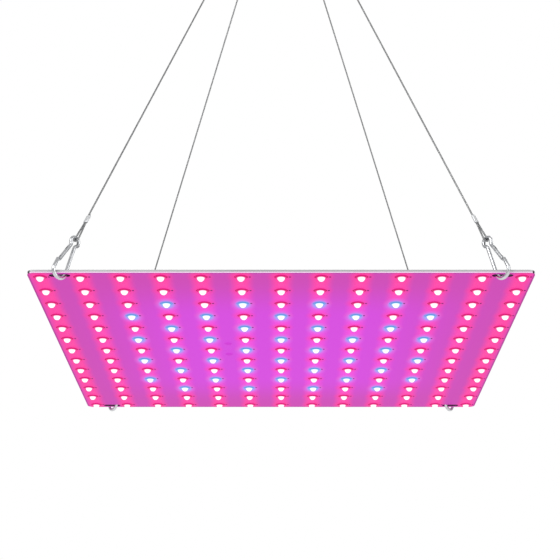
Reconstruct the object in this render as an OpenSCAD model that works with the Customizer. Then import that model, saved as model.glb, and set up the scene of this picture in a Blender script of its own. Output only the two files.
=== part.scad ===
// LED grow light panel: a square lamp board hung on four wire legs from one ring.
// Frame: origin at the ring's seat, the top of its hole, +Z up, the lamp board hangs below.
// X runs left to right, Y runs from the near edge of the board to the rear edge. Millimetres.

/* [Lamp board] */
// Width of the lamp board, left to right
board_w = 310; // [250:1:380]
// Depth of the lamp board, near edge to rear edge
board_d = 310; // [250:1:380]
// Thickness of the aluminium plate
plate_t = 1.3; // [1:0.1:3]
// Thickness of the white circuit layer under the plate
circuit_t = 0.7; // [0.4:0.1:1.5]
// Radius of the board's corners
corner_r = 4.5; // [1:0.5:12]

/* [Lamps] */
// Lamps along each side of the square grid
lamp_count = 13; // [5:2:15]
// Distance from the outer lamps' centres to the board's edge
lamp_margin = 7.4; // [6:0.1:14]
// Rings of lamps at the border that are all red
red_border = 2; // [1:1:4]
// Diameter of a lens flange
flange_d = 6.8; // [5:0.1:10]
// Thickness of a lens flange
flange_t = 0.7; // [0.6:0.1:1.2]
// Diameter of a lens dome
dome_d = 4.6; // [3:0.1:6]
// Length of the lamp package under a lens
package_l = 3.5; // [2:0.1:4]
// Width of the lamp package under a lens
package_w = 2.8; // [1.5:0.1:3.2]

/* [Hanging slots] */
// Length of a slot
slot_l = 13; // [10:0.5:16]
// Width of a slot
slot_w = 4.6; // [4.4:0.1:6]
// Distance from the board's edge to the middle of a slot
slot_inset = 4.8; // [4.6:0.1:7]

/* [Snap hooks] */
// Diameter of the rod that a snap hook is bent from
rod_d = 2.4; // [1.8:0.1:3]
// Clear width inside the large lobe
lobe_in = 7.2; // [6.5:0.1:10]
// Clear width inside the small eye
eye_in = 3.6; // [3.2:0.1:6]
// Distance between the middles of the lobe and the eye
hook_l = 24.4; // [20:0.2:34]
// Gap between the rods at the neck
neck_gap = 1; // [0.6:0.1:2]
// How far the nose flares out from the gate's line
nose_flare = 0.9; // [0:0.1:1.2]
// Diameter of the gate's pin
pin_d = 0.8; // [0.6:0.1:1.2]

/* [Wire legs] */
// Diameter of the wire rope
wire_d = 1.2; // [0.8:0.1:1.6]
// Length of the end loops
loop_l = 14; // [12:0.5:24]
// Length of a ferrule
ferrule_l = 6; // [5:0.5:14]
// Wall of a ferrule
ferrule_wall = 0.5; // [0.3:0.1:1]

/* [Ring] */
// Height from the ring's seat to the lamps' board face
drop = 430; // [360:5:700]
// Diameter of the ring's rod
ring_rod_d = 3; // [2.5:0.1:4]
// Clear width inside the ring
ring_in = 17; // [15:0.5:30]

/* [Driver box] */
// Length of the driver box
box_l = 120; // [110:1:160]
// Depth of the driver box
box_w = 64; // [60:1:90]
// Height of the driver box
box_h = 28; // [27:0.5:40]
// Wall of the driver box
box_wall = 2; // [1.5:0.1:3]
// Thickness of the driver's circuit board
pcb_t = 1.6; // [1:0.1:2]

/* [Hidden] */
$fn = 48;

eps = 0.01;          // overlap that makes a cut clean
touch_gap = 0.6;     // air between a loop and the ring, which lets the loop swing

// Heights on the lamp board
board_t = plate_t + circuit_t;
face_z = -drop;
back_z = face_z + board_t;

// The lamp grid fills the board from margin to margin
pitch_x = (board_w - 2 * lamp_margin) / (lamp_count - 1);
pitch_y = (board_d - 2 * lamp_margin) / (lamp_count - 1);
package_t = flange_t - 0.1;
package_gap = 0.1;

// Slots lie halfway between the two outer lamp columns
slot_x = board_w / 2 - lamp_margin - pitch_x / 2;
slot_y = board_d / 2 - slot_inset;
strip_w = slot_inset - slot_w / 2;
strip_y = board_d / 2 - strip_w / 2;

// Ring: hangs in the Y-Z plane with the top of its hole at the origin
ring_r = ring_rod_d / 2;
ring_bend_r = ring_in / 2 + ring_r;
ring_z = -ring_in / 2;
apex_z = ring_z - ring_bend_r;
apex = [0, 0, apex_z];

// Wire legs
wire_r = wire_d / 2;
loop_half = wire_r + 0.02;
upper_loop_r = ring_r + touch_gap + wire_r;
rod_r = rod_d / 2;
lower_loop_r = rod_r + 0.2 + wire_r;
loop_step_a = (wire_d + 1.6) / ring_bend_r * 180 / PI;
tail_l = 1;

// Snap hook outline, in its own plane: u to the gate's side, w from the lobe up to the eye
lobe_r = lobe_in / 2 + rod_r;
eye_r = eye_in / 2 + rod_r;
neck_u = neck_gap / 2 + rod_r;
neck_r = rod_d * 1.25;
neck_w = hook_l - sqrt(pow(eye_r + neck_r, 2) - pow(neck_u + neck_r, 2));
neck_centre = [-(neck_u + neck_r), neck_w];
neck_dist = norm(neck_centre);
side_a = atan2(neck_centre[1], neck_centre[0]) + acos((lobe_r + neck_r) / neck_dist);
side_dir = [cos(side_a), sin(side_a)];
lobe_touch = lobe_r * side_dir;
neck_touch = neck_centre - neck_r * side_dir;
side_l = norm(neck_touch - lobe_touch);
eye_meet_a = atan2(neck_centre[1] - hook_l, neck_centre[0]) + 360;
lean_a = atan2(neck_touch[0] - lobe_touch[0], neck_touch[1] - lobe_touch[1]);

// Gate: runs down the side from the neck, s is the distance from the neck's end
tongue_t = rod_d * 0.38;
fork_gap = tongue_t + 0.24;
pin_s = rod_r + 0.3;
pin_r = pin_d / 2;
pin_play = 0.03;
nose_s = side_l * 0.74;
gate_end_s = nose_s - 0.5;
tip_l = 2.4;

// Driver box, from its own origin at the middle of its foot on the board's back
tray_t = 2.4;
boss_d = 7;
boss_x = box_l / 2 - box_wall - boss_d / 2 - 0.3;
boss_y = box_w / 2 - box_wall - boss_d / 2 - 0.3;
stud_x = boss_x - 1;
stud_y = boss_y - boss_d / 2 - 5;
stud_d = 3;
standoff_h = 4;
pcb_z = tray_t + standoff_h;
pcb_top = pcb_z + pcb_t;
pcb_l = box_l - 38;
pcb_w = box_w - 14;
pcb_x = box_l / 2 - 10 - pcb_l / 2;
standoff_x = pcb_l / 2 - 4;
standoff_y = pcb_w / 2 - 4;
inlet_w = 22;
inlet_h = 12.4;
inlet_l = 14;
inlet_z = box_h - box_wall - 1.6 - inlet_h / 2;
inlet_lobe_r = 4.1;
inlet_pitch = 8.6;
inlet_pin_d = 2.36;
inlet_root_d = 2;
inlet_face = 1.4;
inlet_depth = 11;
lead_r = 0.9;
feed_x = -pitch_x * 1.5;
feed_y = pitch_y / 2;
feed_d = 4;
screw_d = 2.4;

function unit(v) = v / norm(v);
function corner(sx, sy) = [sx * slot_x, sy * strip_y, face_z + board_t / 2];
function leg_dir(sx, sy) = unit(apex - corner(sx, sy));
// Horizontal direction from the middle of the board out to a corner
function outward(sx, sy) = unit([sx * slot_x, sy * strip_y, 0]);
function hook_side(sx, sy) =
    let (d = leg_dir(sx, sy), o = outward(sx, sy)) unit(o - (o * d) * d);
// How far the lobe's middle lies above the middle of the board strip, so that the rod clears the strip
function seat_rise(sx, sy) =
    let (
        lean = acos(leg_dir(sx, sy)[2]),
        width = strip_w / abs(outward(sx, sy)[1]),
        room = lobe_in / 2 - 0.5,
        b = width * sin(lean) + board_t * cos(lean),
        c = (width * width + board_t * board_t) / 4 - room * room
    ) -b / 2 + sqrt(b * b / 4 - c);
function lobe_centre(sx, sy) = corner(sx, sy) + seat_rise(sx, sy) * leg_dir(sx, sy);
function eye_top(sx, sy) = lobe_centre(sx, sy) + (hook_l + eye_r) * leg_dir(sx, sy);
// The four upper loops sit side by side on the bottom of the ring
function ring_place(i) =
    let (a = (i - 1.5) * loop_step_a)
    [0, ring_bend_r * sin(a), ring_z - ring_bend_r * cos(a)];
function blue(i, j) =
    min(i, j, lamp_count - 1 - i, lamp_count - 1 - j) >= red_border && (i + j) % 2 == 1;

// Corners: [name, x side, y side, place on the ring]
LEGS = [
    ["near_left", -1, -1, 1], ["near_right", 1, -1, 0],
    ["rear_left", -1, 1, 2], ["rear_right", 1, 1, 3]
];

// ---- Shared shapes ----

// Puts children in a frame with its own x and z directions
module placed(o, x, z) {
    y = cross(z, x);
    multmatrix([
        [x[0], y[0], z[0], o[0]],
        [x[1], y[1], z[1], o[1]],
        [x[2], y[2], z[2], o[2]],
        [0, 0, 0, 1]
    ]) children();
}

// Straight rod between two points
module rod(a, b, r) {
    v = b - a;
    translate(a) rotate([0, acos(v[2] / norm(v)), atan2(v[1], v[0])]) cylinder(h = norm(v), r = r);
}

// Tube along a path: one reference normal for each point, none parallel to the path there
module tube(path, normals, r, sides) {
    last = len(path) - 1;
    rings = [for (i = [0 : last])
        let (
            t = unit(path[min(i + 1, last)] - path[max(i - 1, 0)]),
            u = unit(normals[i] - (normals[i] * t) * t),
            v = cross(t, u)
        )
        for (k = [0 : sides - 1]) path[i] + r * (cos(k * 360 / sides) * u + sin(k * 360 / sides) * v)
    ];
    walls = [for (i = [0 : last - 1], k = [0 : sides - 1])
        let (a = i * sides + k, b = i * sides + (k + 1) % sides)
        for (f = [[a, a + sides, b + sides], [a, b + sides, b]]) f
    ];
    start_cap = [for (k = [0 : sides - 1]) k];
    end_cap = [for (k = [sides - 1 : -1 : 0]) last * sides + k];
    polyhedron(points = rings, faces = concat(walls, [start_cap, end_cap]));
}

// Points on an arc in a plane
function arc(c, r, from, to, n) =
    [for (i = [0 : n]) let (a = from + (to - from) * i / n) [c[0] + r * cos(a), c[1] + r * sin(a)]];
function same(v, n) = [for (i = [0 : n - 1]) v];

// Bent rod in the X-Z plane: centre, bend radius, rod radius, first and last angle from +X towards +Z
module bend(c, bend_r, r, from, to) {
    translate([c[0], 0, c[1]]) rotate([90, 0, 0]) rotate([0, 0, from])
        rotate_extrude(angle = to - from, $fn = 96) translate([bend_r, 0]) circle(r);
}

// Plate with round corners, centred in X and Y
module round_plate(w, d, t, r) {
    translate([-w / 2 + r, -d / 2, 0]) cube([w - 2 * r, d, t]);
    translate([-w / 2, -d / 2 + r, 0]) cube([w, d - 2 * r, t]);
    for (x = [-1, 1], y = [-1, 1])
        translate([x * (w / 2 - r), y * (d / 2 - r), 0]) cylinder(h = t, r = r);
}

// Straight slot with round ends, along X
module slot(l, w, t) {
    translate([-(l - w) / 2, -w / 2, 0]) cube([l - w, w, t]);
    for (x = [-1, 1]) translate([x * (l - w) / 2, 0, 0]) cylinder(h = t, d = w);
}

module on_board_back() {
    translate([0, 0, back_z]) children();
}

module on_pcb(x, y) {
    translate([pcb_x + x, y, back_z + pcb_top]) children();
}

// ---- Ring ----

module hanging_ring() {
    color("silver") translate([0, 0, ring_z]) rotate([0, 90, 0])
        rotate_extrude($fn = 96) translate([ring_bend_r, 0]) circle(ring_r);
}

// ---- Wire legs ----

// End loop in its own plane: from the tail's end round the origin to where the wire leaves the ferrule
function loop_points(loop_r) =
    let (reach = norm([loop_half, loop_l]), a = atan2(loop_l, loop_half) - acos(loop_r / reach))
    concat(
        [[loop_half, loop_l + ferrule_l + tail_l], [loop_half, loop_l]],
        arc([0, 0], loop_r, a, -180 - a, 14),
        [[-loop_half, loop_l]]
    );
function in_frame(o, x, z, points) = [for (p = points) o + p[0] * x + p[1] * z];
function backwards(list) = [for (i = [len(list) - 1 : -1 : 0]) list[i]];

module ferrule() {
    difference() {
        for (side = [-1, 1]) translate([side * loop_half, 0, loop_l])
            cylinder(h = ferrule_l, r = wire_r + ferrule_wall);
        for (side = [-1, 1]) translate([side * loop_half, 0, loop_l - 1])
            cylinder(h = ferrule_l + 2, r = wire_r + 0.03);
    }
}

// A leg's ends: the loops' centres, and their sideways directions
function low_point(leg) = eye_top(leg[1], leg[2]);
function high_point(leg) = ring_place(leg[3]);
function leg_axis(leg) = unit(high_point(leg) - low_point(leg));
function low_side(leg) =
    let (d = leg_axis(leg), s = hook_side(leg[1], leg[2]), n = cross(d, s)) unit(n - (n * d) * d);
function high_side(leg) =
    let (d = leg_axis(leg), n = cross([0, 1, 0], d)) unit(n - (n * d) * d);

module at_low_end(leg) {
    placed(low_point(leg), low_side(leg), leg_axis(leg)) children();
}

module at_high_end(leg) {
    placed(high_point(leg), high_side(leg), -leg_axis(leg)) children();
}

module wire(leg) {
    steps = 24;
    up = leg_axis(leg);
    low = in_frame(low_point(leg), low_side(leg), up, loop_points(lower_loop_r));
    high = backwards(in_frame(high_point(leg), high_side(leg), -up, loop_points(upper_loop_r)));
    from = low[len(low) - 1];
    middle = [for (i = [1 : steps - 1]) from + (high[0] - from) * i / steps];
    low_n = cross(up, low_side(leg));
    high_n = cross(up, high_side(leg));
    turn = low_n * high_n < 0 ? -1 : 1;
    middle_n = [for (i = [1 : steps - 1]) low_n * (1 - i / steps) + turn * high_n * i / steps];
    color("darkgray") tube(
        concat(low, middle, high),
        concat(same(low_n, len(low)), middle_n, same(turn * high_n, len(high))), wire_r, 8
    );
}

module lower_ferrules() {
    color("silver") for (leg = LEGS) at_low_end(leg) ferrule();
}

module upper_ferrules() {
    color("silver") for (leg = LEGS) at_high_end(leg) ferrule();
}

// ---- Snap hooks ----

module at_hook(leg) {
    placed(lobe_centre(leg[1], leg[2]), hook_side(leg[1], leg[2]), leg_dir(leg[1], leg[2])) children();
}

// Frame of the gate's side: origin at the neck's end, +Z runs down the side, +X points out
module at_side() {
    translate([-neck_touch[0], 0, neck_touch[1]]) rotate([0, 180 - lean_a, 0]) mirror([1, 0, 0]) children();
}

// Outline of the bent rod: nose, lobe, back, neck, eye, neck
function rod_points() = concat(
    [[
        -neck_touch[0] + sin(lean_a) * nose_s + cos(lean_a) * nose_flare,
        neck_touch[1] - cos(lean_a) * nose_s + sin(lean_a) * nose_flare
    ]],
    arc([0, 0], lobe_r, 180 - side_a, side_a - 360, 16),
    arc(neck_centre, neck_r, side_a - 180, eye_meet_a - 180, 4),
    arc([0, hook_l], eye_r, eye_meet_a, 180 - eye_meet_a, 16),
    arc([-neck_centre[0], neck_centre[1]], neck_r, 360 - eye_meet_a, 360 - side_a, 4)
);

// Leaves out points that repeat the one before
function distinct(p) = [for (i = [0 : len(p) - 1]) if (i == 0 || norm(p[i] - p[max(i - 1, 0)]) > eps) p[i]];

module snap_hook(leg) {
    points = [for (p = distinct(rod_points())) [p[0], 0, p[1]]];
    grip = 0.3;
    color("lightgray") at_hook(leg) {
        tube(points, same([0, 1, 0], len(points)), rod_r, 12);
        at_side() {
            // Tongue at the neck, with the pin's bore
            difference() {
                translate([-rod_r * 0.8, -tongue_t / 2, -grip])
                    cube([rod_r * 1.6, tongue_t, pin_s + rod_r * 0.8 + grip]);
                pin_bore();
            }
            // Tongue on the nose, which the gate closes over
            translate([-rod_r * 0.8, -tongue_t / 2, nose_s - tip_l])
                cube([rod_r * 1.6, tongue_t, tip_l + grip]);
        }
    }
}

module pin_bore() {
    translate([0, 0, pin_s]) rotate([90, 0, 0])
        cylinder(h = rod_d + 1, r = pin_r + pin_play, center = true);
}

module gate(leg) {
    fork_floor = pin_s + rod_r + 3;
    color("silver") at_hook(leg) at_side() difference() {
        union() {
            translate([0, 0, pin_s]) cylinder(h = gate_end_s - pin_s, r = rod_r);
            intersection() {
                translate([0, 0, pin_s - rod_r]) cylinder(h = rod_r + eps, r = rod_r);
                translate([0, 0, pin_s]) rotate([90, 0, 0]) cylinder(h = rod_d, r = rod_r, center = true);
            }
        }
        translate([-rod_d, -fork_gap / 2, -eps]) cube([2 * rod_d, fork_gap, fork_floor]);
        translate([-rod_d, -fork_gap / 2, nose_s - tip_l - 0.4]) cube([2 * rod_d, fork_gap, rod_d * 2]);
        pin_bore();
    }
}

module gate_pins() {
    color("dimgray") for (leg = LEGS) at_hook(leg) at_side()
        translate([0, 0, pin_s]) rotate([90, 0, 0]) cylinder(h = rod_d - 0.1, r = pin_r, center = true);
}

// Spring blade: lies in the upper fork against the tongue and presses the gate shut
module gate_springs() {
    blade_t = 0.3;
    color("gray") for (leg = LEGS) at_hook(leg) at_side()
        translate([-blade_t / 2, -tongue_t / 2, pin_s + rod_r * 0.8 + 0.05])
            cube([blade_t, tongue_t, rod_r + 1.2]);
}

// ---- Lamp board ----

module slots(t) {
    for (x = [-1, 1], y = [-1, 1])
        translate([x * slot_x, y * slot_y, 0]) slot(slot_l, slot_w, t);
}

module feed_holes(t) {
    for (y = [-1, 1]) translate([feed_x, y * feed_y, 0]) cylinder(h = t, d = feed_d);
}

module board_sheet(z, t) {
    difference() {
        translate([0, 0, z]) round_plate(board_w, board_d, t, corner_r);
        translate([0, 0, z - 1]) slots(t + 2);
        translate([0, 0, z - 1]) feed_holes(t + 2);
    }
}

module board_plate() {
    color("silver") board_sheet(face_z + circuit_t, plate_t);
}

module circuit_layer() {
    color("orchid") board_sheet(face_z, circuit_t);
}

module at_lamps(want_blue) {
    mid = (lamp_count - 1) / 2;
    for (i = [0 : lamp_count - 1], j = [0 : lamp_count - 1]) if (blue(i, j) == want_blue)
        translate([(i - mid) * pitch_x, (j - mid) * pitch_y, face_z]) children();
}

module lamp_package() {
    translate([-package_l / 2, -package_w / 2, -package_t]) cube([package_l, package_w, package_t]);
}

module lens() {
    room_l = package_l + 2 * package_gap;
    room_w = package_w + 2 * package_gap;
    difference() {
        union() {
            translate([0, 0, -flange_t]) cylinder(h = flange_t, d = flange_d);
            translate([0, 0, -flange_t]) sphere(d = dome_d);
        }
        translate([-flange_d, -flange_d, 0]) cube([2 * flange_d, 2 * flange_d, dome_d]);
        translate([-room_l / 2, -room_w / 2, -package_t - package_gap / 2])
            cube([room_l, room_w, package_t + 1]);
    }
}

module red_packages() {
    color("white") at_lamps(false) lamp_package();
}

module blue_packages() {
    color("white") at_lamps(true) lamp_package();
}

module red_lenses() {
    color("deeppink") at_lamps(false) lens();
}

module blue_lenses() {
    color("paleturquoise") at_lamps(true) lens();
}

// White sealing dabs over the soldered ends of the output leads
module feed_caps() {
    cap_r = 4.5;
    cap_h = 1.1;
    color("orchid") for (y = [-1, 1]) intersection() {
        translate([feed_x, y * feed_y, face_z + cap_r - cap_h]) sphere(r = cap_r);
        translate([feed_x, y * feed_y, face_z - cap_h]) cylinder(h = cap_h, r = cap_r);
    }
}

// Rubber bushes that carry the output leads through the board
module feed_grommets() {
    color("dimgray") for (y = [-1, 1]) translate([feed_x, y * feed_y, 0]) difference() {
        union() {
            translate([0, 0, face_z]) cylinder(h = board_t, d = feed_d - 0.08);
            translate([0, 0, back_z]) cylinder(h = 0.8, d = feed_d + 1.8);
        }
        translate([0, 0, face_z - 1]) cylinder(h = board_t + 3, r = lead_r + 0.05);
    }
}

// ---- Driver box ----

module at_bosses() {
    for (x = [-1, 1], y = [-1, 1]) translate([x * boss_x, y * boss_y, 0]) children();
}

module at_studs() {
    for (x = [-1, 1], y = [-1, 1]) translate([x * stud_x, y * stud_y, 0]) children();
}

module at_standoffs() {
    for (x = [-1, 1], y = [-1, 1]) translate([pcb_x + x * standoff_x, y * standoff_y, 0]) children();
}

module driver_tray() {
    boss_h = box_h - box_wall - tray_t;
    color("dimgray") on_board_back() difference() {
        union() {
            round_plate(box_l, box_w, tray_t, 3);
            at_bosses() translate([0, 0, tray_t - eps]) cylinder(h = boss_h + eps, d = boss_d);
            at_standoffs() translate([0, 0, tray_t - eps]) cylinder(h = standoff_h + eps, d = 6);
        }
        at_bosses() translate([0, 0, tray_t]) cylinder(h = box_h, d = screw_d);
        at_standoffs() translate([0, 0, tray_t]) cylinder(h = box_h, d = screw_d - 0.4);
        at_studs() translate([0, 0, -1]) cylinder(h = tray_t + 2, d = stud_d + 0.4);
        for (y = [-1, 1]) translate([feed_x, y * feed_y, -1]) cylinder(h = tray_t + 2, d = feed_d + 3);
    }
}

module driver_cover() {
    cover_h = box_h - tray_t;
    vent_n = 9;
    vent_step = 6;
    color("dimgray") on_board_back() translate([0, 0, tray_t]) difference() {
        round_plate(box_l, box_w, cover_h, 3);
        translate([0, 0, -eps])
            round_plate(box_l - 2 * box_wall, box_w - 2 * box_wall, cover_h - box_wall + eps, 1);
        at_bosses() cylinder(h = cover_h + 1, d = screw_d + 0.4);
        at_bosses() translate([0, 0, cover_h - 1]) cylinder(h = 2, d = 5.2);
        translate([box_l / 2 - box_wall - 1, -inlet_w / 2 - 0.1, inlet_z - tray_t - inlet_h / 2 - 0.1])
            cube([box_wall + 2, inlet_w + 0.2, inlet_h + 0.2]);
        for (i = [0 : vent_n - 1], y = [-1, 1])
            translate([(i - (vent_n - 1) / 2) * vent_step, y * box_w / 4, cover_h - box_wall - 1])
                rotate([0, 0, 90]) slot(box_w / 3.4, 2.2, box_wall + 2);
    }
}

module tray_studs() {
    color("silver") on_board_back() at_studs() {
        cylinder(h = tray_t + 3.4, d = stud_d);
    }
}

module tray_nuts() {
    color("silver") on_board_back() at_studs() translate([0, 0, tray_t]) difference() {
        cylinder(h = 2.4, d = 6.2, $fn = 6);
        translate([0, 0, -1]) cylinder(h = 5, d = stud_d + 0.06, $fn = 48);
    }
}

module pan_screw(head_d, head_h, d, l) {
    difference() {
        union() {
            cylinder(h = head_h, d = head_d);
            translate([0, 0, -l]) cylinder(h = l, d = d);
        }
        for (a = [0, 90]) rotate([0, 0, a])
            translate([-head_d * 0.32, -0.3, head_h * 0.45]) cube([head_d * 0.64, 0.6, head_h]);
    }
}

module cover_screws() {
    color("silver") on_board_back() at_bosses()
        translate([0, 0, box_h - 1]) pan_screw(4.8, 1.4, screw_d - 0.06, 9);
}

module driver_pcb() {
    color("darkgreen") on_board_back() difference() {
        translate([pcb_x - pcb_l / 2, -pcb_w / 2, pcb_z]) cube([pcb_l, pcb_w, pcb_t]);
        at_standoffs() translate([0, 0, pcb_z - 1]) cylinder(h = pcb_t + 2, d = 2.7);
    }
}

module pcb_screws() {
    color("silver") on_board_back() at_standoffs()
        translate([0, 0, pcb_top]) pan_screw(4.4, 1.4, screw_d - 0.46, pcb_t + 3);
}

// Thin insulating sheet that lies on the tray under the circuit board
module insulating_sheet() {
    sheet_l = 2 * standoff_x - 8;
    color("ivory") on_board_back() translate([pcb_x - sheet_l / 2, -pcb_w / 2 + 10, tray_t])
        cube([sheet_l, pcb_w - 20, 0.4]);
}

// Two-pin mains inlet in the end wall
module at_inlet() {
    translate([box_l / 2, 0, back_z + inlet_z]) rotate([0, 90, 0]) rotate([0, 0, 90]) children();
}

module inlet_shell() {
    color("black") at_inlet() difference() {
        union() {
            translate([-inlet_w / 2, -inlet_h / 2, -inlet_l]) cube([inlet_w, inlet_h, inlet_l + 0.1]);
            translate([0, 0, 0]) round_plate(inlet_w + 4, inlet_h + 2.4, inlet_face, 1.5);
        }
        translate([0, 0, inlet_face - inlet_depth])
            slot(inlet_pitch + 2 * inlet_lobe_r, 2 * inlet_lobe_r, inlet_depth + 1);
        for (x = [-1, 1]) translate([x * inlet_pitch / 2, 0, -inlet_l - 1])
            cylinder(h = inlet_l, d = inlet_root_d + 0.06);
    }
}

module inlet_pins() {
    shoulder = inlet_face - inlet_depth + 0.05;
    color("silver") at_inlet() for (x = [-1, 1]) translate([x * inlet_pitch / 2, 0, 0]) {
        translate([0, 0, -inlet_l - 3]) cylinder(h = inlet_l + 3 + shoulder, d = inlet_root_d);
        translate([0, 0, shoulder]) cylinder(h = -0.4 - shoulder, d = inlet_pin_d);
    }
}

// Insulated lead: straight, a quarter bend, straight
module mains_leads() {
    color("sienna") for (y = [-1, 1]) {
        start_x = box_l / 2 - inlet_l - 3.1;
        turn_r = 3;
        translate([0, y * inlet_pitch / 2, back_z]) {
            rod([start_x, 0, inlet_z], [start_x - 2, 0, inlet_z], lead_r);
            bend([start_x - 2, inlet_z - turn_r], turn_r, lead_r, 90, 180);
            rod([start_x - 2 - turn_r, 0, inlet_z - turn_r], [start_x - 2 - turn_r, 0, pcb_top], lead_r);
        }
    }
}

module output_terminal() {
    color("limegreen") on_pcb(-pcb_l / 2 + 5, 0) difference() {
        translate([-4, -14, 0]) cube([8, 28, 10]);
        for (y = [-1, 1]) {
            translate([-4.5, y * 8, 4]) rotate([0, 90, 0]) cylinder(h = 5, r = lead_r + 0.1);
            translate([0.5, y * 8, 7]) cylinder(h = 4, d = 4);
        }
    }
}

module output_leads() {
    start_x = pcb_x - pcb_l / 2 + 2;
    level = pcb_top + 4;
    color("firebrick") on_board_back() for (side = [-1, 1]) {
        y = side * 8;
        points = [
            [start_x, y, level],
            [feed_x + 5, y, level],
            [feed_x + 2, y, level - 0.6],
            [feed_x + 0.5, y, level - 2],
            [feed_x, y, level - 3.5],
            [feed_x, y * 0.97, level - 5],
            [feed_x, side * feed_y * 1.05, 2.4],
            [feed_x, side * feed_y, 1],
            [feed_x, side * feed_y, -board_t]
        ];
        tube(points, same([0.1, 1, 0.3], len(points)), lead_r, 8);
    }
}

// ---- Driver parts on the circuit board ----

module fuse() {
    color("white") on_pcb(pcb_l / 2 - 8, 16) translate([0, 0, 0.2]) cylinder(h = 9, d = 5.4);
}

module varistor() {
    color("royalblue") on_pcb(pcb_l / 2 - 18, 18) translate([-1.8, 0, 4.6])
        rotate([0, 90, 0]) cylinder(h = 3.6, d = 9);
}

module film_capacitor() {
    color("gold") on_pcb(pcb_l / 2 - 13, -19) translate([-6.5, -3, 0]) cube([13, 6, 11]);
}

module choke_core() {
    color("dimgray") on_pcb(pcb_l / 2 - 24, 6) translate([0, 0, 3.1])
        rotate_extrude() translate([5, 0]) square([3.6, 5], center = true);
}

module choke_windings() {
    color("darkorange") on_pcb(pcb_l / 2 - 24, 6) translate([0, 0, 3.1]) for (side = [0, 180])
        rotate([0, 0, side - 50]) rotate_extrude(angle = 100) difference() {
            translate([5, 0]) square([5.2, 6.2], center = true);
            translate([5, 0]) square([3.7, 5.1], center = true);
        }
}

module bridge_rectifier() {
    color("black") on_pcb(pcb_l / 2 - 28, -18) translate([-4, -3.2, 0]) cube([8, 6.4, 3]);
}

module bulk_capacitor() {
    color("midnightblue") on_pcb(2, -17) cylinder(h = 15, d = 10);
}

module heat_sink() {
    color("silver") on_pcb(-4, 19.5) {
        translate([-12, 0, 0]) cube([24, 1.6, 15]);
        for (i = [0 : 4]) translate([-12 + i * 5.6, 1.6 - eps, 3]) cube([1.6, 3, 12]);
    }
}

module switch_transistor() {
    color("black") on_pcb(-4, 19.5) difference() {
        translate([-5, -4.4, 1]) cube([10, 4.3, 10]);
        translate([0, -5, 9]) rotate([-90, 0, 0]) cylinder(h = 3.2, d = 3);
    }
}

module controller_chip() {
    color("black") on_pcb(-18, -19) translate([-2.5, -2, 0]) cube([5, 4, 1.6]);
}

module transformer_core() {
    color("dimgray") on_pcb(-12, 0) difference() {
        translate([-10, -8, 0]) cube([20, 16, 15]);
        translate([-7, -9, 3]) cube([4.4, 18, 9]);
        translate([2.6, -9, 3]) cube([4.4, 18, 9]);
    }
}

module transformer_winding() {
    color("khaki") on_pcb(-12, 0) difference() {
        translate([-6.8, -10.5, 3.2]) cube([13.6, 21, 8.6]);
        translate([-2.65, -8.1, 3]) cube([5.3, 16.2, 9]);
    }
}

module output_capacitor() {
    color("midnightblue") on_pcb(-24, 18) cylinder(h = 13, d = 8);
}

module output_diode() {
    color("black") on_pcb(-28, -18) translate([-2.4, -3.2, 0]) cube([4.8, 6.4, 2.3]);
}

hanging_ring();
wire(LEGS[0]);  // wire_near_left
wire(LEGS[1]);  // wire_near_right
wire(LEGS[2]);  // wire_rear_left
wire(LEGS[3]);  // wire_rear_right
lower_ferrules();
upper_ferrules();
snap_hook(LEGS[0]);  // snap_hook_near_left
snap_hook(LEGS[1]);  // snap_hook_near_right
snap_hook(LEGS[2]);  // snap_hook_rear_left
snap_hook(LEGS[3]);  // snap_hook_rear_right
gate(LEGS[0]);  // gate_near_left
gate(LEGS[1]);  // gate_near_right
gate(LEGS[2]);  // gate_rear_left
gate(LEGS[3]);  // gate_rear_right
gate_pins();
gate_springs();
board_plate();
circuit_layer();
red_packages();
blue_packages();
red_lenses();
blue_lenses();
feed_caps();
feed_grommets();
driver_tray();
driver_cover();
tray_studs();
tray_nuts();
cover_screws();
driver_pcb();
pcb_screws();
insulating_sheet();
inlet_shell();
inlet_pins();
mains_leads();
output_leads();
fuse();
varistor();
film_capacitor();
choke_core();
choke_windings();
bridge_rectifier();
bulk_capacitor();
heat_sink();
switch_transistor();
controller_chip();
transformer_core();
transformer_winding();
output_capacitor();
output_diode();
output_terminal();
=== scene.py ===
import math
import bmesh
import bpy
from mathutils import Matrix, Vector


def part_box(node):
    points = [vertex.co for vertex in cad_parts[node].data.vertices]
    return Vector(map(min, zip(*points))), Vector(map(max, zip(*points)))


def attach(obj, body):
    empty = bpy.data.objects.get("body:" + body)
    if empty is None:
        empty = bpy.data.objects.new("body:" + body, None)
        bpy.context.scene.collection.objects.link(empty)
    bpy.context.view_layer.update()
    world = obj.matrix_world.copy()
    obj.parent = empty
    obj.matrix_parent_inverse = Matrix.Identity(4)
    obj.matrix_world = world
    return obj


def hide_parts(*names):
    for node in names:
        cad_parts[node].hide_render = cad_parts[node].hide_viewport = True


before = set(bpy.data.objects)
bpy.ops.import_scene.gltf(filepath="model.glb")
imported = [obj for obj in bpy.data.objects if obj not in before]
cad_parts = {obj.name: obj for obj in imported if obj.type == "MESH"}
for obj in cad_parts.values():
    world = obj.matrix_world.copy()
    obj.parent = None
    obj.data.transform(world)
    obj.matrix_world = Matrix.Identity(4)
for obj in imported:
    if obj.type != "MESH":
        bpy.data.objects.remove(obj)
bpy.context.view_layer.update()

# The studio: a pale floor far below the hanging lamp, white air, three soft lamps and a camera
# that stands low in front and looks up at the lit face.
MM = 0.001
FACE_Z = -430.0
CAMERA_BACK = 0.9983
CAMERA_BELOW_FACE = 0.3131
CAMERA_PITCH = math.radians(90 + 20.09)
CAMERA_LENS = 95.17
CAMERA_SHIFT = -0.002
FLOOR_DROP = 1.6
FLOOR_SIZE = 12
SKY_STRENGTH = 0.55
LIGHTS_AIM = Vector((0, 0, -0.3))

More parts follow.
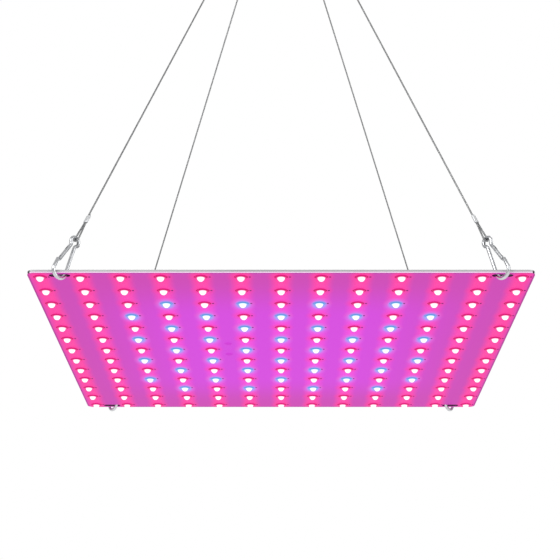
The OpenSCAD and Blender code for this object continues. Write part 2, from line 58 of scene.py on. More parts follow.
bpy.ops.object.select_all(action="DESELECT")
bpy.ops.object.camera_add(
    location=(0, -CAMERA_BACK, FACE_Z * MM - CAMERA_BELOW_FACE),
    rotation=(CAMERA_PITCH, 0, 0),
)
camera = bpy.context.object
camera.name = "camera"
camera.data.lens = CAMERA_LENS
camera.data.sensor_width = 36
camera.data.shift_x = CAMERA_SHIFT
camera.data.clip_end = 100
bpy.context.scene.camera = camera


def plain_material(name, color, roughness=0.5, metallic=0.0):
    mat = bpy.data.materials.new(name)
    mat.use_nodes = True
    shader = mat.node_tree.nodes["Principled BSDF"]
    shader.inputs["Base Color"].default_value = (*color, 1)
    shader.inputs["Roughness"].default_value = roughness
    shader.inputs["Metallic"].default_value = metallic
    return mat


def white_to_the_camera(mat):
    """The surface shows plain white to the camera and in reflections, and takes shadows from below."""
    nodes, links = mat.node_tree.nodes, mat.node_tree.links
    path = nodes.new("ShaderNodeLightPath")
    glow = nodes.new("ShaderNodeEmission")
    glow.inputs["Color"].default_value = (1, 1, 1, 1)
    seen = nodes.new("ShaderNodeMath")
    seen.operation = "MAXIMUM"
    links.new(path.outputs["Is Camera Ray"], seen.inputs[0])
    links.new(path.outputs["Is Glossy Ray"], seen.inputs[1])
    mix = nodes.new("ShaderNodeMixShader")
    links.new(seen.outputs[0], mix.inputs["Fac"])
    links.new(nodes["Principled BSDF"].outputs[0], mix.inputs[1])
    links.new(glow.outputs[0], mix.inputs[2])
    links.new(mix.outputs[0], nodes["Material Output"].inputs["Surface"])


bpy.ops.object.select_all(action="DESELECT")
bpy.ops.mesh.primitive_plane_add(size=FLOOR_SIZE, location=(0, 0, FACE_Z * MM - FLOOR_DROP))
floor = bpy.context.object
floor.name = "studio_floor"
floor_paint = plain_material("floor_paint", (0.82, 0.82, 0.83), 0.8)
white_to_the_camera(floor_paint)
floor.data.materials.append(floor_paint)

# The air lights the lamp softly, and the camera sees it plain white
world = bpy.data.worlds.new("studio_air")
bpy.context.scene.world = world
world.use_nodes = True
air = world.node_tree
sky = air.nodes["Background"]
sky.inputs["Color"].default_value = (1, 1, 1, 1)
sky.inputs["Strength"].default_value = SKY_STRENGTH
seen_sky = air.nodes.new("ShaderNodeBackground")
seen_sky.inputs["Color"].default_value = (1, 1, 1, 1)
sky_path = air.nodes.new("ShaderNodeLightPath")
sky_mix = air.nodes.new("ShaderNodeMixShader")
air.links.new(sky_path.outputs["Is Camera Ray"], sky_mix.inputs["Fac"])
air.links.new(sky.outputs[0], sky_mix.inputs[1])
air.links.new(seen_sky.outputs[0], sky_mix.inputs[2])
air.links.new(sky_mix.outputs[0], air.nodes["World Output"].inputs["Surface"])

for lamp_name, place, size, power in [
    ("key_light", (-1.6, -1.8, 0.9), 1.2, 26),
    ("fill_light", (1.9, -1.4, 0.2), 1.6, 14),
    ("rim_light", (0.6, 2.2, 0.8), 1.4, 16),
]:
    bpy.ops.object.light_add(type="AREA", location=place)
    light = bpy.context.object
    light.name = lamp_name
    light.data.size = size
    light.data.energy = power
    light.rotation_euler = (LIGHTS_AIM - Vector(place)).to_track_quat("-Z", "Y").to_euler()

bpy.context.scene.view_settings.view_transform = "Standard"


# The four wire ropes: galvanised steel, six outer wires laid round a core, 1.2 mm over all. Each
# end is turned back round its fitting and held in a crimped ferrule.
PANEL_HALF = 155.0
LAMPS = 13
LAMP_MARGIN = 7.4
PITCH = (2 * PANEL_HALF - 2 * LAMP_MARGIN) / (LAMPS - 1)
CORNER_SLOT_X = PANEL_HALF - LAMP_MARGIN - PITCH / 2
STRIP_WIDTH = 2.5
BOARD_THICK = 2.0
EDGE_MID_Z = FACE_Z + BOARD_THICK / 2
ROPE_D = 1.2
ROPE_LAY = 7.5
ROPE_FLUTES = 0.14
ROPE_STEP = 0.9
ROD_R = 1.2
LOBE_INSIDE = 7.2
LOBE_PLAY = 0.5
EYE_BEND = 3.0
HOOK_LENGTH = 24.4
RING_ROD_R = 1.5
RING_BEND = 10.0
RING_CENTRE_Z = -8.5
LOOP_LENGTH = 14.0
LOOP_HALF = ROPE_D / 2 + 0.02
LOOP_GAP_AT_HOOK = 0.2
LOOP_GAP_AT_RING = 0.6
LOOP_SPACING = ROPE_D + 1.6
FERRULE_LENGTH = 6.0
TAIL = 1.0
APEX = Vector((0, 0, RING_CENTRE_Z - RING_BEND))
# Each leg's side, its end of the panel, and the place of its loop on the ring
LEGS = {
    "near_left": (-1, -1, 1),
    "near_right": (1, -1, 0),
    "rear_left": (-1, 1, 2),
    "rear_right": (1, 1, 3),
}


def hook_frame(sx, sy):
    """The lobe's middle, the hook's long axis up to the apex, and its sideways direction outwards."""
    corner = Vector((sx * CORNER_SLOT_X, sy * (PANEL_HALF - STRIP_WIDTH / 2), EDGE_MID_Z))
    up = (APEX - corner).normalized()
    outward = Vector((corner.x, corner.y, 0)).normalized()
    side = (outward - outward.dot(up) * up).normalized()
    # The lobe is raised until the strip of board under the slot fits inside it
    lean = math.acos(up.z)
    width = STRIP_WIDTH / abs(outward.y)
    room = LOBE_INSIDE / 2 - LOBE_PLAY
    b = width * math.sin(lean) + BOARD_THICK * math.cos(lean)
    c = (width**2 + BOARD_THICK**2) / 4 - room**2
    lobe = corner + (-b / 2 + math.sqrt(b * b / 4 - c)) * up
    return lobe, up, side


def rope_frames(leg):
    """The middles of the two end loops, the rope's direction, and each loop's way across."""
    sx, sy, place = LEGS[leg]
    lobe, up, side = hook_frame(sx, sy)
    low = lobe + (HOOK_LENGTH + EYE_BEND) * up
    turn = (place - (len(LEGS) - 1) / 2) * LOOP_SPACING / RING_BEND
    high = Vector((0, RING_BEND * math.sin(turn), RING_CENTRE_Z - RING_BEND * math.cos(turn)))
    along = (high - low).normalized()
    across_low = along.cross(side)
    across_low = (across_low - across_low.dot(along) * along).normalized()
    across_high = Vector((0, 1, 0)).cross(along).normalized()
    return low, high, along, across_low, across_high


def loop_line(centre, across, up, loop_r):
    """From the tail's end, round the fitting, to where the rope leaves the ferrule."""
    reach = math.hypot(LOOP_HALF, LOOP_LENGTH)
    start = math.atan2(LOOP_LENGTH, LOOP_HALF) - math.acos(loop_r / reach)
    flat = [(LOOP_HALF, LOOP_LENGTH + FERRULE_LENGTH + TAIL), (LOOP_HALF, LOOP_LENGTH)]
    steps = 28
    for i in range(steps + 1):
        a = start - (math.pi + 2 * start) * i / steps
        flat.append((loop_r * math.cos(a), loop_r * math.sin(a)))
    flat.append((-LOOP_HALF, LOOP_LENGTH))
    return [centre + u * across + w * up for u, w in flat]


def rope_path(leg):
    low, high, along, across_low, across_high = rope_frames(leg)
    first = loop_line(low, across_low, along, ROD_R + LOOP_GAP_AT_HOOK + ROPE_D / 2)
    last = loop_line(high, across_high, -along, RING_ROD_R + LOOP_GAP_AT_RING + ROPE_D / 2)
    return [p * MM for p in first + last[::-1]]


def evenly(points, step):
    """The same line with points a step apart."""
    out = [points[0]]
    for a, b in zip(points, points[1:]):
        n = max(1, round((b - a).length / step))
        out += [a.lerp(b, i / n) for i in range(1, n + 1)]
    return out


def carried_frames(points, normal):
    """A tangent and two cross directions at each point, carried along without twist."""
    frames = []
    u = normal
    for i, p in enumerate(points):
        t = (points[min(i + 1, len(points) - 1)] - points[max(i - 1, 0)]).normalized()
        u = (u - u.dot(t) * t).normalized()
        frames.append((p, t, u, t.cross(u)))
    return frames


def mesh_piece(name, verts, faces):
    mesh = bpy.data.meshes.new(name)
    mesh.from_pydata([tuple(v) for v in verts], [], faces)
    mesh.update()
    piece = bpy.data.objects.new(name, mesh)
    bpy.context.collection.objects.link(piece)
    return piece


def rope_mesh(name, path):
    """Six outer wires as a fluted section that turns once in each lay of the rope."""
    points = evenly(path, ROPE_STEP * MM)
    loop_plane = (path[2] - path[10]).cross(path[6] - path[10]).normalized()
    frames = carried_frames(points, loop_plane)
    section = 24
    verts, faces = [], []
    run = 0.0
    for i, (p, t, u, v) in enumerate(frames):
        if i:
            run += (p - frames[i - 1][0]).length
        turn = 2 * math.pi * run / (ROPE_LAY * MM)
        for k in range(section):
            a = 2 * math.pi * k / section
            r = ROPE_D * MM / 2 * (1 - ROPE_FLUTES + ROPE_FLUTES * abs(math.cos(3 * a)))
            verts.append(p + r * (math.cos(a + turn) * u + math.sin(a + turn) * v))
    for i in range(len(frames) - 1):
        for k in range(section):
            a, b = i * section + k, i * section + (k + 1) % section
            faces.append((a, b, b + section, a + section))
    faces.append(tuple(range(section - 1, -1, -1)))
    faces.append(tuple(range((len(frames) - 1) * section, len(frames) * section)))
    return mesh_piece(name, verts, faces)


def hold(piece):
    """This piece alone is selected, and it is the active one."""
    bpy.ops.object.select_all(action="DESELECT")
    piece.select_set(True)
    bpy.context.view_layer.objects.active = piece


def finish_piece(piece, name, mat, body, smooth=40):
    """Its place goes into its mesh, its faces point out, and it gets its material and body."""
    hold(piece)
    bpy.ops.object.transform_apply(location=True, rotation=True, scale=True)
    piece.name = name
    piece.data.materials.clear()
    piece.data.materials.append(mat)
    bpy.ops.object.mode_set(mode="EDIT")
    bpy.ops.mesh.select_all(action="SELECT")
    bpy.ops.mesh.normals_make_consistent(inside=False)
    bpy.ops.object.mode_set(mode="OBJECT")
    bpy.ops.object.shade_smooth_by_angle(angle=math.radians(smooth))
    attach(piece, body)
    return piece


def noise_bump(mat, scale, strength, stretch=(1, 1, 1), rough=None):
    """Fine grain in the finish: bump, and roughness between the two values of rough."""
    nodes, links = mat.node_tree.nodes, mat.node_tree.links
    shader = nodes["Principled BSDF"]
    coords = nodes.new("ShaderNodeTexCoord")
    mapping = nodes.new("ShaderNodeMapping")
    mapping.inputs["Scale"].default_value = stretch
    noise = nodes.new("ShaderNodeTexNoise")
    noise.inputs["Scale"].default_value = scale
    noise.inputs["Detail"].default_value = 4
    links.new(coords.outputs["Object"], mapping.inputs["Vector"])
    links.new(mapping.outputs[0], noise.inputs["Vector"])
    bump = nodes.new("ShaderNodeBump")
    bump.inputs["Strength"].default_value = strength
    bump.inputs["Distance"].default_value = 0.0002
    links.new(noise.outputs[0], bump.inputs["Height"])
    links.new(bump.outputs[0], shader.inputs["Normal"])
    if rough:
        spread = nodes.new("ShaderNodeMapRange")
        spread.inputs["To Min"].default_value = rough[0]
        spread.inputs["To Max"].default_value = rough[1]
        links.new(noise.outputs[0], spread.inputs["Value"])
        links.new(spread.outputs[0], shader.inputs["Roughness"])
    return noise


def tint(mat, noise, dark, pale):
    """Colour that drifts between two tones with the grain."""
    nodes, links = mat.node_tree.nodes, mat.node_tree.links
    ramp = nodes.new("ShaderNodeValToRGB")
    ramp.color_ramp.elements[0].position = 0.3
    ramp.color_ramp.elements[0].color = (*dark, 1)
    ramp.color_ramp.elements[1].position = 0.7
    ramp.color_ramp.elements[1].color = (*pale, 1)
    links.new(noise.outputs[0], ramp.inputs[0])
    links.new(ramp.outputs[0], nodes["Principled BSDF"].inputs["Base Color"])


rope_steel = plain_material("galvanised_rope", (0.36, 0.365, 0.375), 0.34, 0.9)
rope_grain = noise_bump(rope_steel, 900, 0.25, rough=(0.26, 0.5))
tint(rope_steel, rope_grain, (0.23, 0.235, 0.24), (0.44, 0.445, 0.45))
for leg in LEGS:
    path = rope_path(leg)
    rope = finish_piece(rope_mesh("rope", path), "rope_" + leg, rope_steel, "lamp", 80)
    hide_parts("wire_" + leg)


# Ferrules: short oval sleeves of soft aluminium, pressed flat round the two runs of rope, with the
# dents that the crimping tool leaves.
FERRULE_SIDES = 28
FERRULE_ROWS = 18
FERRULE_HALF_WIDTH = ROPE_D + 0.5
FERRULE_HALF_THICK = ROPE_D / 2 + 0.42
CRIMP_DENT = 0.10


def select_upright_edges(piece):
    """In edit mode: the edges that run mostly along Z, and nothing else."""
    bpy.ops.mesh.select_mode(type="EDGE")
    bpy.ops.mesh.select_all(action="DESELECT")
    mesh = bmesh.from_edit_mesh(piece.data)
    for edge in mesh.edges:
        along = edge.verts[0].co - edge.verts[1].co
        if abs(along.z) > 0.5 * along.length:
            edge.select_set(True)
    bmesh.update_edit_mesh(piece.data)


def squared(value):
    """Swells a sine or cosine, so that an oval has flatter sides."""
    return math.copysign(abs(value) ** 0.75, value)


def crimped_sleeve():
    """One sleeve that stands on the origin along Z, with its broad way along X."""
    bpy.ops.object.select_all(action="DESELECT")
    bpy.ops.mesh.primitive_cylinder_add(
        vertices=FERRULE_SIDES, radius=MM, depth=FERRULE_LENGTH * MM,
        location=(0, 0, FERRULE_LENGTH / 2 * MM),
    )
    sleeve = bpy.context.object
    bpy.ops.object.transform_apply(location=True, rotation=True, scale=True)
    bpy.ops.object.mode_set(mode="EDIT")
    select_upright_edges(sleeve)
    bpy.ops.mesh.subdivide(number_cuts=FERRULE_ROWS - 1)
    bpy.ops.object.mode_set(mode="OBJECT")
    for vertex in sleeve.data.vertices:
        share = vertex.co.z / (FERRULE_LENGTH * MM)
        turn = math.atan2(vertex.co.y, vertex.co.x)
        dent = CRIMP_DENT * max(0.0, math.cos((share - 0.5) * 4 * math.pi)) ** 2
        rows_in = min(share, 1 - share) * FERRULE_ROWS
        lip = 0.9 if rows_in < 0.5 else (0.98 if rows_in < 1.5 else 1.0)
        vertex.co.x = FERRULE_HALF_WIDTH * MM * lip * squared(math.cos(turn))
        vertex.co.y = FERRULE_HALF_THICK * MM * (lip - dent) * squared(math.sin(turn))
    return sleeve


def copy_at(model, place, axes=((1, 0, 0), (0, 1, 0), (0, 0, 1))):
    """A copy with its own mesh, its origin at place and its X, Y and Z along the three axes."""
    piece = model.copy()
    piece.data = model.data.copy()
    bpy.context.collection.objects.link(piece)
    piece.matrix_world = Matrix.Translation(place) @ Matrix(axes).transposed().to_4x4()
    return piece


ferrule_metal = plain_material("crimped_aluminium", (0.8, 0.81, 0.83), 0.35, 0.75)
ferrule_grain = noise_bump(ferrule_metal, 600, 0.35, rough=(0.28, 0.5))
tint(ferrule_metal, ferrule_grain, (0.72, 0.73, 0.75), (0.88, 0.89, 0.9))
sleeve_model = crimped_sleeve()
for end in ("lower", "upper"):
    sleeves = []
    for leg in LEGS:
        low, high, along, across_low, across_high = rope_frames(leg)
        if end == "lower":
            base, up, across = low + LOOP_LENGTH * along, along, across_low
        else:
            base, up, across = high - LOOP_LENGTH * along, -along, across_high
        sleeve = copy_at(sleeve_model, base * MM, (across, up.cross(across), up))
        name = "ferrule_" + end + "_" + leg
        finish_piece(sleeve, name, ferrule_metal, "lamp", 50)
        sleeves.append(sleeve)
    for sleeve in sleeves:
        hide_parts(end + "_ferrules")
bpy.data.objects.remove(sleeve_model)


# The ring that all four ropes hang from: a bent steel rod, butt-welded and nickel plated. The weld
# is on the rear side, a low waist on each side of a slightly fuller seam.
DRAWN_UNDER_SIZE = 0.995
WAIST = 0.05
WAIST_FROM_WELD = 9
WAIST_SPREAD = 3.5

bright_nickel = plain_material("bright_nickel", (0.66, 0.67, 0.69), 0.2, 1.0)
nickel_grain = noise_bump(bright_nickel, 350, 0.12, rough=(0.14, 0.3))
tint(bright_nickel, nickel_grain, (0.56, 0.57, 0.59), (0.74, 0.75, 0.77))

bpy.ops.object.select_all(action="DESELECT")
bpy.ops.mesh.primitive_torus_add(
    major_radius=RING_BEND * MM, minor_radius=RING_ROD_R * MM * DRAWN_UNDER_SIZE,
    major_segments=96, minor_segments=28,
    location=(0, 0, RING_CENTRE_Z * MM), rotation=(0, math.pi / 2, 0),
)
ring = bpy.context.object
bpy.ops.object.transform_apply(location=True, rotation=True, scale=True)
ring_centre = Vector((0, 0, RING_CENTRE_Z * MM))
for vertex in ring.data.vertices:
    away = vertex.co - ring_centre
    turn = math.atan2(away.z, away.y)
    middle = ring_centre + Vector((0, math.cos(turn), math.sin(turn))) * RING_BEND * MM
    from_waist = abs(math.degrees(turn)) - WAIST_FROM_WELD
    waist = 1 - WAIST * math.exp(-((from_waist / WAIST_SPREAD) ** 2))
    vertex.co = middle + (vertex.co - middle) * waist
finish_piece(ring, "plated_ring", bright_nickel, "ring", 60)
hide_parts("hanging_ring")


# Snap hooks: one steel rod bent into a large lobe and a small eye, with its nose at the lobe's
# outer side. The lobe goes round the panel's edge and up through the slot.
LOBE_BEND = LOBE_INSIDE / 2 + ROD_R
NECK_PLAY = 0.5
NECK_HALF = NECK_PLAY + ROD_R
NECK_BEND = 2 * ROD_R * 1.25
NECK_W = HOOK_LENGTH - math.sqrt((EYE_BEND + NECK_BEND) ** 2 - (NECK_HALF + NECK_BEND) ** 2)
NECK_CENTRE = (-(NECK_HALF + NECK_BEND), NECK_W)
SIDE_ANGLE = math.atan2(NECK_W, NECK_CENTRE[0])
SIDE_ANGLE += math.acos((LOBE_BEND + NECK_BEND) / math.hypot(*NECK_CENTRE))
LOBE_TOUCH = (LOBE_BEND * math.cos(SIDE_ANGLE), LOBE_BEND * math.sin(SIDE_ANGLE))
NECK_TOUCH = (
    NECK_CENTRE[0] - NECK_BEND * math.cos(SIDE_ANGLE),
    NECK_W - NECK_BEND * math.sin(SIDE_ANGLE),
)
EYE_MEET = math.atan2(NECK_W - HOOK_LENGTH, NECK_CENTRE[0]) + 2 * math.pi
SIDE_LENGTH = math.hypot(NECK_TOUCH[0] - LOBE_TOUCH[0], NECK_TOUCH[1] - LOBE_TOUCH[1])
LEAN = math.atan2(NECK_TOUCH[0] - LOBE_TOUCH[0], NECK_TOUCH[1] - LOBE_TOUCH[1])
NOSE_AT = SIDE_LENGTH * 0.74
NOSE_FLARE = 0.9
TONGUE_LENGTH = 2.6
TONGUE_MIDDLE = 1.0
TONGUE_WIDTH = ROD_R * 1.56
TONGUE_THICK = ROD_R * 0.76
ROD_SIDES = 20
ROUND_BEND_STEPS = 36
NECK_BEND_STEPS = 10


def break_edges(piece, width, segments, angle):
    """Edges sharper than angle degrees are rounded to width millimetres."""
    hold(piece)
    bevel = piece.modifiers.new("broken_edge", "BEVEL")
    bevel.width = width * MM
    bevel.segments = segments
    bevel.limit_method = "ANGLE"
    bevel.angle_limit = math.radians(angle)
    bpy.ops.object.modifier_apply(modifier="broken_edge")


def bend_rod(centre, turn, steps):
    """The rod's open end is carried round centre, which bends the next length of rod."""
    middle = (centre[0] * MM, 0, centre[1] * MM)
    bpy.ops.mesh.spin(steps=steps, angle=turn, center=middle, axis=(0, -1, 0))


def draw_rod(start, stop):
    """The rod's open end goes straight on from start to stop."""
    step = ((stop[0] - start[0]) * MM, 0, (stop[1] - start[1]) * MM)
    bpy.ops.mesh.extrude_region_move(TRANSFORM_OT_translate={"value": step})


def bent_rod():
    """From the nose round the lobe, up the fixed side, round the eye and back into the neck. It
    lies in XZ, the lobe's middle at the origin and the eye above."""
    nose = (
        -NECK_TOUCH[0] + math.sin(LEAN) * NOSE_AT + math.cos(LEAN) * NOSE_FLARE,
        NECK_TOUCH[1] - math.cos(LEAN) * NOSE_AT + math.sin(LEAN) * NOSE_FLARE,
    )
    neck_turn = EYE_MEET - SIDE_ANGLE
    bpy.ops.object.select_all(action="DESELECT")
    bpy.ops.mesh.primitive_circle_add(
        vertices=ROD_SIDES, radius=ROD_R * MM * DRAWN_UNDER_SIZE,
        location=(nose[0] * MM, 0, nose[1] * MM), rotation=(0, SIDE_ANGLE - math.pi, 0),
    )
    rod = bpy.context.object
    bpy.ops.object.transform_apply(location=True, rotation=True, scale=True)
    bpy.ops.object.mode_set(mode="EDIT")
    draw_rod(nose, (-LOBE_TOUCH[0], LOBE_TOUCH[1]))
    bend_rod((0, 0), 3 * math.pi - 2 * SIDE_ANGLE, ROUND_BEND_STEPS)
    draw_rod(LOBE_TOUCH, NECK_TOUCH)
    bend_rod(NECK_CENTRE, -neck_turn, NECK_BEND_STEPS)
    bend_rod((0, HOOK_LENGTH), 2 * EYE_MEET - math.pi, ROUND_BEND_STEPS)
    bend_rod((-NECK_CENTRE[0], NECK_W), -neck_turn, NECK_BEND_STEPS)
    bpy.ops.mesh.select_all(action="SELECT")
    bpy.ops.mesh.fill_holes(sides=0)
    bpy.ops.object.mode_set(mode="OBJECT")
    break_edges(rod, 0.25, 3, 60)
    return rod


def flat_tongue(below_neck):
    """A flattened length of the rod on the gate's side, which the gate's fork goes over."""
    x = -NECK_TOUCH[0] + math.sin(LEAN) * below_neck
    z = NECK_TOUCH[1] - math.cos(LEAN) * below_neck
    bpy.ops.object.select_all(action="DESELECT")
    bpy.ops.mesh.primitive_cube_add(
        size=1, location=(x * MM, 0, z * MM), rotation=(0, -LEAN, 0),
        scale=(TONGUE_WIDTH * MM, TONGUE_THICK * MM, TONGUE_LENGTH * MM),
    )
    tongue = bpy.context.object
    bpy.ops.object.transform_apply(location=True, rotation=True, scale=True)
    break_edges(tongue, 0.12, 2, 35)
    return tongue


def join(parts):
    """The parts become one object, the first one."""
    bpy.ops.object.select_all(action="DESELECT")
    for part in parts:
        part.select_set(True)
    bpy.context.view_layer.objects.active = parts[0]
    bpy.ops.object.join()
    return bpy.context.object


upper_tongue = flat_tongue(TONGUE_MIDDLE)
lower_tongue = flat_tongue(NOSE_AT - TONGUE_MIDDLE)
hook_model = join([bent_rod(), upper_tongue, lower_tongue])
for leg, (sx, sy, place) in LEGS.items():
    lobe, up, side = hook_frame(sx, sy)
    hook = copy_at(hook_model, lobe * MM, (side, up.cross(side), up))
    finish_piece(hook, "bent_hook_" + leg, bright_nickel, "lamp", 40)
    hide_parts("snap_hook_" + leg)
bpy.data.objects.remove(hook_model)


# Gates: straight rods, forked at both ends over the hook's tongues, each on a short steel pin with
# a leaf spring behind it. The edges are broken as tumbling leaves them.
def flat_faces(piece):
    """Large faces keep their own direction beside the small ones of a rounded edge."""
    hold(piece)
    even = piece.modifiers.new("flat_faces", "WEIGHTED_NORMAL")
    even.weight = 100
    even.keep_sharp = True
    bpy.ops.object.modifier_apply(modifier="flat_faces")


def worn_copy(node, name, mat, body, width, angle=35, segments=2):
    """A copy of the CAD node with its flat faces made whole and its edges broken."""
    piece = bpy.data.objects.new(name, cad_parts[node].data.copy())
    bpy.context.collection.objects.link(piece)
    hold(piece)
    bpy.ops.object.mode_set(mode="EDIT")
    bpy.ops.mesh.select_all(action="SELECT")
    bpy.ops.mesh.remove_doubles(threshold=0.000002)
    bpy.ops.mesh.dissolve_limited(angle_limit=math.radians(1))
    bpy.ops.object.mode_set(mode="OBJECT")
    break_edges(piece, width, segments, angle)
    finish_piece(piece, name, mat, body)
    flat_faces(piece)
    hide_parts(node)


def dress(node, mat):
    """A CAD node that shows as it is, in its own finish."""
    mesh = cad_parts[node].data
    mesh.materials.clear()
    mesh.materials.append(mat)


brushed_pin = plain_material("drawn_steel", (0.5, 0.5, 0.52), 0.35, 1.0)
pin_grain = noise_bump(brushed_pin, 500, 0.15, rough=(0.25, 0.45))
tint(brushed_pin, pin_grain, (0.42, 0.42, 0.44), (0.58, 0.58, 0.6))
for leg in LEGS:
    gate = "gate_" + leg
    worn_copy(gate, "sprung_" + gate, bright_nickel, gate, 0.12, 50)
dress("gate_pins", brushed_pin)
dress("gate_springs", brushed_pin)


# The board's back and body: rolled aluminium sheet, cut with round corners, a hanging slot near
# each corner and two small feed holes. The roll lines run along X.
SLOT_LENGTH = 13.0
SLOT_WIDTH = 4.6
SLOT_INSET = 4.8
CORNER_R = 4.5
CUTTER_DEPTH = 8.0
FEED_D = 4.0
FEED_X = -PITCH * 1.5
FEED_Y = PITCH / 2


def rounded_block(name, centre, size, corner_r, corner_steps):
    """A block with its four upright edges rounded."""
    bpy.ops.object.select_all(action="DESELECT")
    bpy.ops.mesh.primitive_cube_add(
        size=1, location=[c * MM for c in centre], scale=[d * MM for d in size],
    )
    piece = bpy.context.object
    piece.name = name
    bpy.ops.object.transform_apply(location=True, rotation=True, scale=True)
    bpy.ops.object.mode_set(mode="EDIT")
    select_upright_edges(piece)
    bpy.ops.mesh.bevel(offset=corner_r * MM, segments=corner_steps, affect="EDGES")
    bpy.ops.object.mode_set(mode="OBJECT")
    return piece


def cut(piece, cutter):
    hold(piece)
    tool = piece.modifiers.new("cut", "BOOLEAN")
    tool.operation = "DIFFERENCE"
    tool.solver = "EXACT"
    tool.object = cutter
    bpy.ops.object.modifier_apply(modifier="cut")
    bpy.data.objects.remove(cutter)


def board_sheet(node, name, mat, edge):
    """One of the board's two sheets, in its CAD node's place, with the slots and feed holes cut."""
    low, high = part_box(node)
    middle = [(a + b) / 2 / MM for a, b in zip(low, high)]
    size = [(b - a) / MM for a, b in zip(low, high)]
    sheet = rounded_block(name, middle, size, CORNER_R, 8)
    cutter_size = (SLOT_LENGTH, SLOT_WIDTH, CUTTER_DEPTH)
    # A hair under half the width, so that the two bends at a slot's end don't meet
    cutter_r = SLOT_WIDTH / 2 - 0.001
    for sx in (-1, 1):
        for sy in (-1, 1):
            centre = (sx * CORNER_SLOT_X, sy * (PANEL_HALF - SLOT_INSET), middle[2])
            cut(sheet, rounded_block("slot_cutter", centre, cutter_size, cutter_r, 10))
    for sy in (-1, 1):
        bpy.ops.object.select_all(action="DESELECT")
        bpy.ops.mesh.primitive_cylinder_add(
            vertices=32, radius=FEED_D / 2 * MM, depth=CUTTER_DEPTH * MM,
            location=(FEED_X * MM, sy * FEED_Y * MM, middle[2] * MM),
        )
        cut(sheet, bpy.context.object)
    break_edges(sheet, edge, 2, 50)
    finish_piece(sheet, name, mat, "lamp", 30)
    flat_faces(sheet)
    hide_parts(node)


class Wiring:
    """Short forms for a material's nodes."""

    def __init__(self, mat):
        self.nodes, self.links = mat.node_tree.nodes, mat.node_tree.links
        self.shader = self.nodes["Principled BSDF"]

    def math(self, operation, a, b=None):
        node = self.nodes.new("ShaderNodeMath")
        node.operation = operation
        for socket, value in zip(node.inputs, (a, b)):
            if value is None:
                continue
            if isinstance(value, (int, float)):
                socket.default_value = value
            else:
                self.links.new(value, socket)
        return node.outputs[0]

    def fade(self, value, near, far):
        """1 up to near, 0 from far on."""
        node = self.nodes.new("ShaderNodeMapRange")
        node.interpolation_type = "SMOOTHSTEP"
        node.inputs["From Min"].default_value = near
        node.inputs["From Max"].default_value = far
        node.inputs["To Min"].default_value = 1
        node.inputs["To Max"].default_value = 0
        self.links.new(value, node.inputs["Value"])
        return node.outputs[0]

    def blend(self, factor, a, b):
        """Colour a where factor is 0, and b where it is 1."""
        node = self.nodes.new("ShaderNodeMix")
        node.data_type = "RGBA"
        self.links.new(factor, node.inputs["Factor"])
        for socket, value in ((node.inputs[6], a), (node.inputs[7], b)):
            if isinstance(value, tuple):
                socket.default_value = (*value, 1)
            else:
                self.links.new(value, socket)
        return node.outputs[2]

    def read_place(self):
        """The point's place on the piece and its normal, as separate numbers."""
        coords = self.nodes.new("ShaderNodeTexCoord")
        self.place = self.nodes.new("ShaderNodeSeparateXYZ")
        self.facing = self.nodes.new("ShaderNodeSeparateXYZ")
        self.links.new(coords.outputs["Object"], self.place.inputs[0])
        self.links.new(coords.outputs["Normal"], self.facing.inputs[0])

    def wall_mask(self):
        """1 on the slots' walls and round the corners, which catch no light and are given painted
        shade.
        """
        size = [self.math("ABSOLUTE", value) for value in self.place.outputs[:2]]
        upright = self.math("LESS_THAN", self.math("ABSOLUTE", self.facing.outputs[2]), 0.5)
        inside = self.math("LESS_THAN", self.math("MAXIMUM", *size), (PANEL_HALF - 0.8) * MM)
        at_corner = self.math("GREATER_THAN", self.math("MINIMUM", *size), (PANEL_HALF - 1.8) * MM)
        return self.math("MULTIPLY", upright, self.math("MAXIMUM", inside, at_corner))

    def paint_wall_shade(self, dark):
        self.read_place()
        socket = self.shader.inputs["Base Color"]
        pale = socket.links[0].from_socket
        self.links.new(self.blend(self.wall_mask(), pale, dark), socket)


rolled_sheet = plain_material("rolled_aluminium", (0.56, 0.56, 0.575), 0.55, 0.45)
sheet_grain = noise_bump(rolled_sheet, 160, 0.12, stretch=(0.08, 1, 1), rough=(0.48, 0.62))
tint(rolled_sheet, sheet_grain, (0.47, 0.47, 0.49), (0.60, 0.60, 0.615))
sheet_nodes = Wiring(rolled_sheet)
# Painted shade: the plate's slot walls and rounded corners are darkened nearly to black.
sheet_nodes.paint_wall_shade((0.10, 0.06, 0.09))
sheet_nodes.shader.inputs["Specular IOR Level"].default_value = 0.25
board_sheet("board_plate", "aluminium_plate", rolled_sheet, 0.15)


# The circuit layer: white coated laminate bonded under the plate. Lit lamps wash it with magenta:
# a pink stripe along each column of lamps, violet between, and a pale blue halo at each blue lamp.
# Rows of red lamps all round the blue ones
RED_BORDER = 2
# The haloes lie this share of a pitch behind their lamps
HALO_SHIFT = 0.09
PINK = (0.98, 0.042, 0.36)
PINK_MIDDLE = (0.90, 0.06, 0.72)
VIOLET = (0.60, 0.050, 0.45)
VIOLET_MIDDLE = (0.66, 0.050, 0.72)
LAMP_RED = (1.0, 0.028, 0.33)
HALO_HAZE = (0.55, 0.20, 0.95)
HALO_BLUE = (0.22, 0.42, 0.95)
BORDER_PLUM = (0.25, 0.02, 0.22)
EDGE_PALE = (0.80, 0.62, 0.76)
EDGE_GLOW = (0.28, 0.17, 0.27)
WALL_SHADE = (0.05, 0.012, 0.04)
BLACK = (0.0, 0.0, 0.0)


def is_blue(i, j):
    return min(i, j, LAMPS - 1 - i, LAMPS - 1 - j) >= RED_BORDER and (i + j) % 2 == 1


